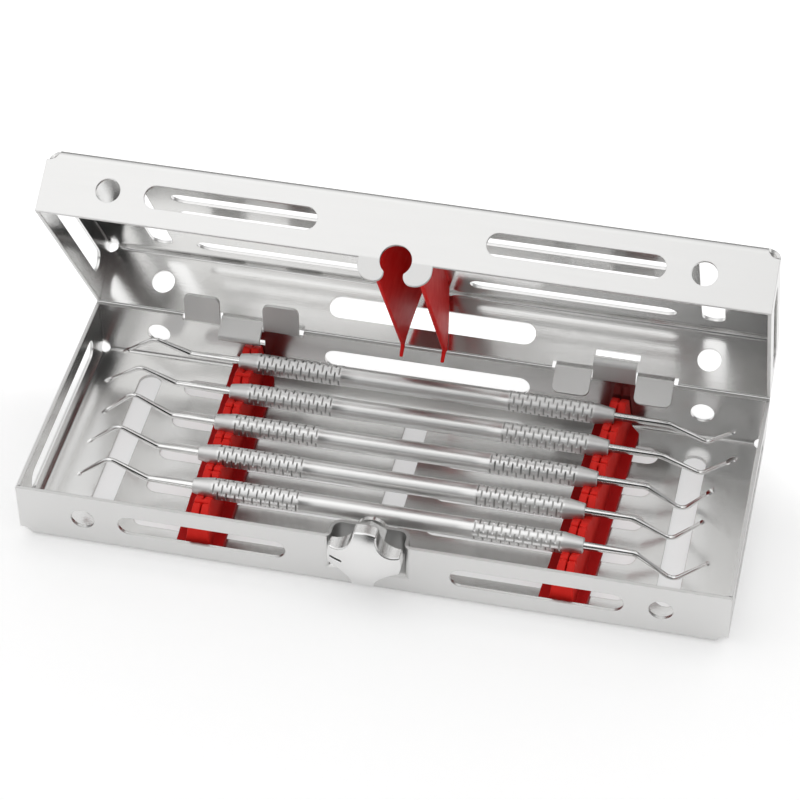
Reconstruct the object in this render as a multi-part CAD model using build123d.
from build123d import *
import math
import os

# Instrument cassette: two equal pressed trays on a hooked hinge, a clamp knob,
# silicone racks, a silicone press bar and five double-ended hand instruments.
# Millimetres. X runs along the cassette, -Y is the knob side, +Z is up.

# --- trays -------------------------------------------------------------------
tray_length = 181.2
tray_depth = 71.5
tray_height = 16.8          # outside of the floor to the parting plane
sheet = 0.9
bend = 2.0                  # outside radius of the floor bends
rim_gap = 0.1               # between the two rims when the cassette is shut
corner_gap = 0.25           # seam between neighbouring walls
corner_relief = 2.6         # radius of the round relief where two bends meet
lid_open = 59.6             # how far the lid stands open at rest, degrees

# --- cut-outs shared by both trays -------------------------------------------
slot_width = 6.0
row_count = 5
row_pitch = 12.2
row_inner = 9.6             # inner and outer ends of the long floor slots
row_outer = 64.0
cross_slot_x = 73.6
cross_slot_length = 54.0
wall_cut_drop = 7.7         # below the rim, middle of every wall cut-out
wall_hole_x = 73.6
wall_hole_width = 6.2
front_slot_inner = 20.9
front_slot_outer = 64.4
back_slot_half = 27.8
side_slot_length = 54.0

# --- hinge -------------------------------------------------------------------
hinge_x = 50.0              # middle of each hinge group
hinge_gap = 0.15            # between a tab and the other tray's wall
tab_width = 9.7
base_tab_height = 8.7
lid_tab_height = 7.0
tab_corner = 1.8
tab_spacing = 10.75         # middle of the hook to the middle of a tab
joggle = 1.6                # height of the inward step of a tab or hook
joggle_slit = 1.0           # saw cut beside the step
hook_width = 11.3
hook_height = 5.95
hook_bend = 1.25            # outside radius where the tongue turns back
hook_slot_width = 11.8
hook_slot_low = 4.65        # distances from the parting plane
hook_slot_high = 6.45

# --- knob recess and keyhole tab ---------------------------------------------
recess_width = 18.6
recess_depth = 5.6
recess_corner = 2.2
recess_bend = 1.8           # outside radius where the front wall turns inward
recess_back_drop = 7.4      # below the parting plane, back of the ramp
recess_front_drop = 11.0
key_tab_width = 18.3
key_tab_drop = 5.5
key_tab_corner = 4.0
key_circle = 7.9
key_circle_rise = 0.3       # above the parting plane, on the lid
key_throat = 4.9
key_throat_corner = 2.2

# --- clamp -------------------------------------------------------------------
stud_drop = 2.6             # stud axis below the parting plane
stud_width = 4.0
stud_shank = 3.0
stud_clearance = 0.05       # radial, in the knob
washer_clearance = 0.1      # radial, in the sliding washer
disc_width = 8.2
disc_thickness = 1.5
disc_step = 0.5
disc_rim = 1.1              # plain ring round the raised middle
stud_chamfer = 0.4
button_rise = 0.4           # riveted end of the stud, behind the disc
button_round = 0.3
spacer_across_flats = 8.0
spacer_tab_gap = 0.15       # between the hexagon spacer and the shut lid's tab
knob_tab_gap = 0.4          # between the knob and the shut lid's tab, at rest
knob_width = 18.9
knob_thickness = 3.2        # at the tips of the lobes
knob_dome = 2.5
knob_rest_turn = 2.5        # the lobes do not stand quite upright
knob_hollow = 5.6           # radius of the four hollows between the lobes
knob_hollow_place = 8.6
knob_tip_round = 0.7
knob_edge_round = 0.6
knob_front_wall = 3.2
knob_mark_length = 3.7
knob_mark_width = 0.7
knob_mark_depth = 0.3
knob_mark_place = 6.9       # from the knob's middle, square to its axis
clamp_washer_width = 10.4
clamp_washer_thickness = 0.8
clamp_washer_side_gap = 0.2
clamp_washer_end_gap = 0.08
stud_end_gap = 0.3

# --- racks -------------------------------------------------------------------
rack_inset = (4.4, -0.2)    # from the handles' nominal ends to the racks' middles
rack_turn = (2.2, -3.0)     # the two soft strips do not lie quite square
rack_width = 12.0
rack_end_gap = 0.65         # between a rack and the trays' walls
rack_thickness = 2.0
rack_toe = 1.1              # chamfer that clears the floor bends
rack_ridge_width = 4.0      # across the tops of the teeth
rack_ridge_foot = 6.6       # across the bottom of the ridge
rack_ridge_rise = 0.4       # above the handle axis
rack_tooth_top = 2.3
rack_seat_rise = 1.2        # bottom of the straight flanks above the handle's
rack_back_chamfer = 3.6
rack_tooth_gap = 2.0        # between the feet of two teeth, under a handle
rack_foot_length = 8.0
rack_foot_width = 5.0
rack_slit = 0.5
rack_slit_depth = 2.4
rack_hinge_relief = 6.4     # room for the lid's hook as it swings

# --- press bar ---------------------------------------------------------------
bar_wall = 1.0
bar_top_width = 3.4
bar_foot_spread = 12.0
bar_handle_gap = 0.12       # above the handles when the lid is shut
bar_front_gap = 0.3         # behind the retaining disc when the lid is shut
bar_back_end = 5.6          # in front of the hinge line
bar_foot_drop = 3.0
bar_foot_length = 1.8
bar_foot_tip = 0.35          # half the width of a foot's blunt point
bar_plug_width = 5.4

# --- instruments -------------------------------------------------------------
instrument_count = 5
instrument_pitch = 11.75
instrument_middle = 2.4     # Y of the middle instrument
handle_axis = 12.0          # above the underside of the floor
handle_length = 100.2
handle_width = 5.5
handle_grip_width = 5.3     # smooth middle
handle_knurl_length = 23.0
handle_cone_length = 5.0
handle_tip_width = 4.0
handle_seat_gap = 0.02
handle_shift = (1.6, 2.1, 1.2, 0.05, 1.75)
shank_width = 2.3
shank_socket = 3.0          # how far a shank is let into its handle
knee_width = 1.65
elbow_width = 1.2
tip_width = 0.9
tip_thickness = 0.55
left_tip_size = ((3.0, 1.2), (3.0, 1.2), (2.6, 1.5), (2.4, 1.2), (1.8, 1.4))
right_tip_size = ((2.1, 1.2), (3.8, 1.8), (3.4, 1.7), (1.9, 1.2), (1.4, 1.2))
left_straight = (13.8, 15.1, 12.1, 11.4, 12.4)
left_bend_reach = (9.5, 9.1, 9.8, 9.8, 9.6)
left_bend_rise = (3.5, 4.0, 5.8, 5.2, 5.1)
left_tip_reach = (9.2, 10.4, 9.0, 9.0, 9.0)       # to the far end of the blade
left_tip_rise = (-6.5, -7.2, -9.0, -7.9, -7.8)
right_straight = (14.3, 13.6, 12.5, 12.0, 12.8)
right_bend_reach = (10.4, 10.4, 9.6, 10.1, 9.9)
right_bend_rise = (-4.5, -4.4, -6.5, -5.4, -7.4)
right_tip_reach = (6.9, 8.9, 7.6, 7.9, 8.7)
right_tip_rise = (5.6, 7.5, 9.2, 8.4, 8.3)
bend_round = 2.6

# --- values worked out from the sizes above ----------------------------------
back = tray_depth / 2
front = -tray_depth / 2
half_length = tray_length / 2
rim = tray_height - rim_gap / 2
stud_axis = tray_height - stud_drop
recess_floor = front + recess_depth
rack_length = tray_depth - 2 * (sheet + rack_end_gap)
rack_x = (-handle_length / 2 + rack_inset[0], handle_length / 2 - rack_inset[1])
knob_back = front - knob_tab_gap
knob_face = knob_back - knob_thickness - knob_dome
spacer_front = front + sheet + spacer_tab_gap
disc_back = recess_floor + sheet
stud_front = knob_face + knob_front_wall + stud_end_gap
handle_top = handle_axis + handle_width / 2
open_angle = math.radians(lid_open)
lid_rear = back + (tray_height - bend) * math.sin(open_angle) + bend * (1 - math.cos(open_angle))
shift_y = -(knob_face + lid_rear) / 2


def box_between(low, high):
    """A box from its lowest to its highest corner."""
    size = [b - a for a, b in zip(low, high)]
    middle = [(a + b) / 2 for a, b in zip(low, high)]
    return Pos(*middle) * Box(*size)


def bar_slot(axis, length, width, depth):
    """A round-ended cutter along X or Y that goes through a sheet in Z."""
    turn = 0 if axis == "X" else 90
    outline = Rot(0, 0, turn) * SlotOverall(length, width)
    return extrude(outline, depth, both=True)


def wall_slot(x, z, length, width, reach):
    """A round-ended cutter that goes through a front or back wall."""
    outline = SlotOverall(length, width) if length > width else Circle(width / 2)
    return Pos(x, 0, z) * extrude(Plane.XZ * outline, reach, both=True)


def side_profile(points, width, x):
    """A prism along X from a closed outline of (y, z) points."""
    face = Plane.YZ * make_face(Polyline(*points, close=True))
    return Pos(x - width / 2, 0, 0) * extrude(face, width)


def folded_pan():
    """The bare pan: a floor, four walls, bends and round corner reliefs."""
    outer = box_between((-half_length, front, 0), (half_length, back, rim))
    outer = fillet(outer.faces().sort_by(Axis.Z)[0].edges(), bend)
    inner = box_between(
        (-half_length + sheet, front + sheet, sheet),
        (half_length - sheet, back - sheet, rim + 1),
    )
    inner = fillet(inner.faces().sort_by(Axis.Z)[0].edges(), bend - sheet)
    pan = outer - inner
    for side_x in (-1, 1):
        for side_y in (-1, 1):
            corner = (side_x * (half_length - sheet / 2), side_y * (back - sheet / 2))
            seam = Pos(
                side_x * half_length,
                side_y * (back - sheet - corner_gap / 2),
                tray_height / 2 + sheet,
            )
            pan -= seam * Box(2 * bend, corner_gap, tray_height)
            pan -= Pos(*corner, sheet / 2) * Sphere(corner_relief)
    return pan


def pan_cutouts():
    """Every slot and hole that the two trays share."""
    cuts = []
    row_length = row_outer - row_inner
    row_middle = (row_outer + row_inner) / 2
    for row in range(row_count):
        y = (row - (row_count - 1) / 2) * row_pitch
        for side in (-1, 1):
            cutter = bar_slot("X", row_length, slot_width, bend)
            cuts.append(Pos(side * row_middle, y, 0) * cutter)
    for x in (-cross_slot_x, 0, cross_slot_x):
        cuts.append(Pos(x, 0, 0) * bar_slot("Y", cross_slot_length, slot_width, bend))
    level = rim - wall_cut_drop
    for side in (-1, 1):
        hole = wall_slot(side * wall_hole_x, level, wall_hole_width, wall_hole_width, tray_depth)
        cuts.append(hole)
        length = front_slot_outer - front_slot_inner
        middle = (front_slot_outer + front_slot_inner) / 2
        front_cut = wall_slot(side * middle, level, length, slot_width, bend)
        cuts.append(Pos(0, front, 0) * front_cut)
    back_cut = wall_slot(0, level, 2 * back_slot_half, slot_width, bend)
    cuts.append(Pos(0, back, 0) * back_cut)
    outline = Plane.YZ * SlotOverall(side_slot_length, slot_width)
    cuts.append(Pos(0, 0, level) * extrude(outline, tray_length, both=True))
    return cuts


def stepped_plate(top, tongue):
    """The (y, z) outline of a tab that steps inward and rises past the rim."""
    outer = back - sheet - hinge_gap
    inner = outer - sheet
    root = rim - joggle
    step = rim - joggle / 6
    points = [(back - sheet, root), (back, root), (outer, step)]
    if tongue:
        points += [(outer, top - sheet), (back - rim_gap, top - sheet), (back - rim_gap, top)]
    else:
        points += [(outer, top)]
    points += [(inner, top), (inner, step)]
    return points


def hinge_tab(x, height):
    """A flat tab that stands up inside the other tray."""
    top = tray_height + height
    tab = side_profile(stepped_plate(top, False), tab_width, x)
    corners = tab.edges().filter_by(Axis.Y).group_by(Axis.Z)[-1]
    return fillet(corners, tab_corner)


def hinge_hook(x):
    """A tab whose end turns back through the other tray's slot."""
    top = tray_height + hook_height
    hook = side_profile(stepped_plate(top, True), hook_width, x)
    outer_bend = hook.edges().filter_by(Axis.X).group_by(Axis.Z)[-1].sort_by(Axis.Y)[0]
    return fillet(outer_bend, hook_bend)


def hinged_pan(tab_height):
    """A pan with its share of the hinge: two tabs at -X and one hook at +X."""
    pan = folded_pan() - pan_cutouts()
    tab_places = (-hinge_x - tab_spacing, -hinge_x + tab_spacing)
    places = [(x, tab_width) for x in tab_places] + [(hinge_x, hook_width)]
    for x, width in places:
        low = (x - width / 2 - joggle_slit, back - 2 * sheet, rim - joggle)
        high = (x + width / 2 + joggle_slit, back + 1, rim + 1)
        pan -= box_between(low, high)
    for x in tab_places:
        pan += hinge_tab(x, tab_height)
    pan += hinge_hook(hinge_x)
    low = (-hinge_x - hook_slot_width / 2, back - 2 * sheet, tray_height - hook_slot_high)
    high = (-hinge_x + hook_slot_width / 2, back + 1, tray_height - hook_slot_low)
    return pan - box_between(low, high)


def recess_block(grow):
    """The knob recess as a solid, grown by the sheet thickness or not."""
    half = recess_width / 2 + grow
    depth = recess_floor + grow
    slope = (recess_front_drop - recess_back_drop) / recess_depth
    low_back = tray_height - recess_back_drop - grow
    low_front = low_back - slope * (depth - front + 1)
    points = [(front - 1, low_front), (depth, low_back), (depth, rim + 1), (front - 1, rim + 1)]
    flare = recess_bend - grow
    plan = Pos(0, (front - 1 + depth) / 2) * Rectangle(2 * half, depth - front + 1)
    plan = fillet(plan.vertices().group_by(Axis.Y)[-1], recess_corner + grow)
    for side in (-1, 1):
        corner = Pos(side * (half + flare / 2), front + grow + flare / 2) * Rectangle(flare, flare)
        plan += corner - Pos(side * (half + flare), front + recess_bend) * Circle(flare)
        mouth = Pos(side * (half + flare / 2), front + grow / 2 - 0.5) * Rectangle(flare, grow + 1)
        plan += mouth
    upright = extrude(plan, 2 * tray_height)
    return upright & side_profile(points, 2 * (half + flare) + 1, 0)


def make_base_tray():
    tray = hinged_pan(base_tab_height)
    shell = recess_block(sheet)
    keep = box_between((-half_length, front, sheet), (half_length, back, rim))
    tray += shell & keep
    tray -= recess_block(0)
    drill = extrude(Plane.XZ * Circle(stud_shank / 2), bend, both=True)
    return tray - Pos(0, recess_floor, stud_axis) * drill


def make_lid_flat():
    """The lid as it lies when it is shut, before it is swung open."""
    upside_down = Pos(0, 0, tray_height) * Rot(0, 180, 0) * Pos(0, 0, -tray_height)
    pan = upside_down * hinged_pan(lid_tab_height)
    drop = rim_gap / 2 + key_tab_drop
    plate = Rectangle(key_tab_width, 2 * drop)
    plate = fillet(plate.vertices().group_by(Axis.Y)[0], key_tab_corner)
    tab = extrude(Plane.XZ * plate, -sheet)
    pan += Pos(0, front, tray_height + rim_gap / 2) * tab
    throat_low = -key_tab_drop - 1
    circle = Pos(0, key_circle_rise) * Circle(key_circle / 2)
    throat = Rectangle(key_throat, key_circle_rise - throat_low)
    throat = Pos(0, (throat_low + key_circle_rise) / 2) * throat
    cut = extrude(Plane.XZ * (circle + throat), bend, both=True)
    pan -= Pos(0, front, tray_height) * cut
    front_edges = pan.edges().filter_by(Axis.Y).filter_by_position(Axis.Y, front, front + sheet)
    lowest = front_edges.group_by(Axis.Z)[0]
    mouth = lowest.sort_by(lambda edge: abs(edge.center().X))[:2]
    return fillet(mouth, key_throat_corner)


def swing(solid):
    """Opens the shut lid's parts about the hinge line."""
    pivot = Pos(0, back, tray_height)
    return pivot * Rot(-lid_open, 0, 0) * pivot.inverse() * solid


def around_stud(shape, start):
    """Stands a shape drawn about +Z on the stud axis, pointing to -Y."""
    return Pos(0, start, stud_axis) * Rot(90, 0, 0) * shape


def make_clamp_stud():
    head = disc_thickness / 2
    thin = disc_back + disc_thickness - recess_floor
    shank = extrude(Circle(stud_shank / 2), thin)
    pin = Pos(0, 0, thin) * extrude(Circle(stud_width / 2), recess_floor - stud_front)
    pin = chamfer(pin.edges().group_by(Axis.Z)[-1], stud_chamfer)
    button = extrude(Circle(stud_shank / 2 + head), -button_rise)
    button = fillet(button.edges().group_by(Axis.Z)[0], button_round)
    return around_stud(shank + pin + button, disc_back + disc_thickness)


def make_retaining_disc():
    wide = extrude(Circle(disc_width / 2), disc_thickness - disc_step)
    crown = extrude(Circle(disc_width / 2 - disc_rim), -disc_step)
    disc = wide + crown
    disc = fillet(disc.edges().group_by(Axis.Z)[0], disc_step * 0.8)
    disc -= extrude(Circle(stud_shank / 2), disc_thickness, both=True)
    return around_stud(disc, disc_back + disc_thickness - disc_step)


def make_hex_spacer():
    outline = RegularPolygon(spacer_across_flats / 2, 6, major_radius=False, rotation=30)
    length = recess_floor - spacer_front
    body = extrude(outline - Circle(stud_width / 2), length)
    return around_stud(body, recess_floor)


def make_clamp_washer():
    bore = stud_width / 2 + washer_clearance
    ring = extrude(Circle(clamp_washer_width / 2) - Circle(bore), clamp_washer_thickness)
    return around_stud(ring, knob_back)


def knob_outline():
    lobes = Circle(knob_width / 2)
    for side_x in (-1, 1):
        for side_y in (-1, 1):
            place = Pos(side_x * knob_hollow_place, side_y * knob_hollow_place)
            lobes -= place * Circle(knob_hollow)
    return fillet(lobes.vertices(), knob_tip_round)


def make_knob():
    top = knob_thickness + knob_dome
    dome_radius = (knob_width ** 2 / 4 + knob_dome ** 2) / (2 * knob_dome)
    body = extrude(knob_outline(), top)
    body &= Pos(0, 0, top - dome_radius) * Sphere(dome_radius)
    body = fillet(body.faces().sort_by(Axis.Z)[-1].edges(), knob_edge_round)
    pocket = Circle(clamp_washer_width / 2 + clamp_washer_side_gap)
    body -= extrude(pocket, clamp_washer_thickness + clamp_washer_end_gap)
    body -= extrude(Circle(stud_width / 2 + stud_clearance), top - knob_front_wall)
    mark = SlotOverall(knob_mark_length, knob_mark_width)
    mark_lean = math.degrees(math.asin(knob_mark_place / dome_radius))
    on_dome = Pos(0, 0, top - dome_radius) * Rot(0, -mark_lean, 0)
    body -= on_dome * Pos(0, 0, dome_radius - knob_mark_depth) * extrude(mark, top)
    return around_stud(Rot(0, 0, -knob_rest_turn) * body, knob_back)


def instrument_y(number):
    return instrument_middle + ((instrument_count - 1) / 2 - number) * instrument_pitch


def handle_solid(number, grow):
    """A turned handle along X, grown in radius to cut its own seat."""
    half = handle_length / 2
    knurl_out = half - handle_cone_length
    knurl_in = knurl_out - handle_knurl_length
    sizes = [(half, handle_tip_width), (knurl_out, handle_width), (knurl_in, handle_width)]
    sizes.append((knurl_in - 0.4, handle_grip_width))
    right = [(x, size / 2 + grow) for x, size in sizes]
    left = [(-x, radius) for x, radius in reversed(right)]
    outline = [(half, 0)] + right + left + [(-half, 0)]
    body = revolve(make_face(Polyline(*outline, close=True)), Axis.X)
    return Pos(handle_shift[number], instrument_y(number), handle_axis) * body


def make_handle(number):
    body = handle_solid(number, 0)
    end = handle_length / 2 - shank_socket / 2
    for side in (-1, 1):
        socket = Rot(0, 90, 0) * Cylinder(shank_width / 2, shank_socket)
        body -= Pos(handle_shift[number] + side * end, instrument_y(number), handle_axis) * socket
    return body


def tip_paddle(size):
    """A flattened oval, drawn along +Z, for the very end of a shank."""
    length, width = size
    outline = Plane.XZ * Ellipse(width / 2, length / 2)
    paddle = extrude(outline, tip_thickness / 2, both=True)
    return Pos(0, 0, length / 2 - tip_width / 2) * paddle


def make_end(number, side):
    """One working end: a straight shank, two bends and an oval tip."""
    if side < 0:
        sizes = (left_straight, left_bend_reach, left_bend_rise, left_tip_reach, left_tip_rise)
        tip_size = left_tip_size[number]
    else:
        sizes = (right_straight, right_bend_reach, right_bend_rise, right_tip_reach, right_tip_rise)
        tip_size = right_tip_size[number]
    straight, bend_reach, bend_rise, tip_reach, tip_rise = [size[number] for size in sizes]
    start = (-shank_socket, 0)
    knee = (straight, 0)
    elbow = (straight + bend_reach, bend_rise)
    last_run = Vector(tip_reach, tip_rise)
    shank_length = last_run.length - (tip_size[0] - tip_width / 2)
    neck = Vector(*elbow) + last_run.normalized() * shank_length
    path = Plane.XZ * FilletPolyline(start, knee, elbow, neck, radius=bend_round)
    runs = path.edges()
    widths = (shank_width, knee_width, knee_width, elbow_width, elbow_width, tip_width)
    body = Part()
    for place, run in enumerate(runs):
        across = Plane(origin=run @ 0, z_dir=run % 0)
        if place % 2 == 0:
            radii = (widths[place] / 2, widths[place + 1] / 2)
            body += Solid.make_cone(*radii, run.length, across)
        else:
            body += sweep(across * Circle(widths[place] / 2), path=run)
    tip_frame = Plane(origin=path @ 1, x_dir=(0, 1, 0), z_dir=path % 1)
    body += tip_frame.location * tip_paddle(tip_size)
    if side < 0:
        body = mirror(body, Plane.YZ)
    end_x = handle_shift[number] + side * handle_length / 2
    return Pos(end_x, instrument_y(number), handle_axis) * body


def make_rack(place, turn):
    """A silicone strip with a ridge of six slit teeth and feet in the slots."""
    end = rack_length / 2
    toe = sheet + rack_toe
    deck = sheet + rack_thickness
    outline = [(rack_toe - end, sheet), (-end, toe), (-end, deck)]
    outline += [(end, deck), (end, toe), (end - rack_toe, sheet)]
    strip = side_profile(outline, rack_width, 0)
    corner = strip.edges().filter_by(Axis.Z).sort_by(Axis.Y)[-2:].sort_by(Axis.X)[-1]
    strip = chamfer(corner, rack_back_chamfer)
    top = handle_axis + rack_ridge_rise
    seat = handle_axis - handle_width / 2 + rack_seat_rise
    outline = [(-end, toe)]
    for tooth in range(instrument_count + 1):
        y = instrument_middle + (tooth - instrument_count / 2) * instrument_pitch
        outline += [(y - (instrument_pitch - rack_tooth_gap) / 2, seat), (y - rack_tooth_top / 2, top)]
        outline += [(y + rack_tooth_top / 2, top), (y + (instrument_pitch - rack_tooth_gap) / 2, seat)]
    outline.append((end, toe))
    ridge = side_profile(outline, rack_ridge_foot, 0)
    half_top = rack_ridge_width / 2
    half_foot = rack_ridge_foot / 2
    section = [(-half_foot, sheet), (half_foot, sheet), (half_foot, deck), (half_top, top)]
    section += [(-half_top, top), (-half_foot, deck)]
    section = Plane.XZ * make_face(Polyline(*section, close=True))
    ridge &= Pos(0, end, 0) * extrude(section, rack_length)
    rack = strip + ridge
    for tooth in range(instrument_count + 1):
        y = instrument_middle + (tooth - instrument_count / 2) * instrument_pitch
        rack -= Pos(0, y, top) * Box(rack_slit, instrument_pitch, 2 * rack_slit_depth)
        rack -= Pos(0, y, top) * Box(rack_width, rack_slit, rack_slit_depth)
    rack = Pos(place, 0, 0) * Rot(0, 0, turn) * rack
    for number in range(instrument_count):
        rack -= handle_solid(number, handle_seat_gap)
    rack -= Pos(place, back, tray_height) * Rot(0, 90, 0) * Cylinder(rack_hinge_relief, 2 * rack_width)
    for row in range(row_count):
        y = (row - (row_count - 1) / 2) * row_pitch
        x = place - y * math.tan(math.radians(turn))
        rack += Pos(x, y, sheet / 2) * Box(rack_foot_length, rack_foot_width, sheet)
    return rack


def make_press_bar():
    """An inverted V channel under the lid, with small feet by the hinge."""
    top = 2 * tray_height - sheet
    low = handle_top + bar_handle_gap
    front_end = disc_back + disc_thickness + bar_front_gap
    back_end = back - bar_back_end
    half_top = bar_top_width / 2
    half_low = bar_foot_spread / 2
    slant = (half_low - half_top) / (top - low)
    inner_top = top - bar_wall
    outline = [(-half_low, low), (-half_top, top), (half_top, top), (half_low, low)]
    hollow_half = half_top + slant * bar_wall - bar_wall
    outline += [(half_low - bar_wall, low), (hollow_half, inner_top)]
    outline += [(-hollow_half, inner_top), (-half_low + bar_wall, low)]
    face = Plane.XZ * make_face(Polyline(*outline, close=True))
    bar = Pos(0, back_end, 0) * extrude(face, back_end - front_end)
    for side in (-1, 1):
        x = side * (half_low - bar_wall / 2)
        heel = back_end - bar_foot_length
        foot = [(back_end, low + 1), (back_end, low), (back_end - bar_foot_tip, low - bar_foot_drop)]
        foot += [(back_end - 2 * bar_foot_tip, low - bar_foot_drop), (heel, low), (heel, low + 1)]
        bar += side_profile(foot, bar_wall, x)
    plug_length = cross_slot_length - slot_width
    plug = Pos(0, 0, top + sheet / 2) * Box(bar_plug_width, plug_length, sheet)
    return bar + plug


def write(name, solid):
    placed = Pos(0, shift_y, 0) * solid
    placed.label = name
    export_step(placed, os.path.join("parts", name + ".step"))


def main():
    os.makedirs("parts", exist_ok=True)
    write("base_tray", make_base_tray())
    write("lid_tray", swing(make_lid_flat()))
    write("press_bar", swing(make_press_bar()))
    write("left_rack", make_rack(rack_x[0], rack_turn[0]))
    write("right_rack", make_rack(rack_x[1], rack_turn[1]))
    write("clamp_stud", make_clamp_stud())
    write("retaining_disc", make_retaining_disc())
    write("hex_spacer", make_hex_spacer())
    write("clamp_washer", make_clamp_washer())
    write("knob", make_knob())
    for number in range(instrument_count):
        name = "instrument_" + str(number + 1)
        write(name + "_handle", make_handle(number))
        write(name + "_left_end", make_end(number, -1))
        write(name + "_right_end", make_end(number, 1))


main()
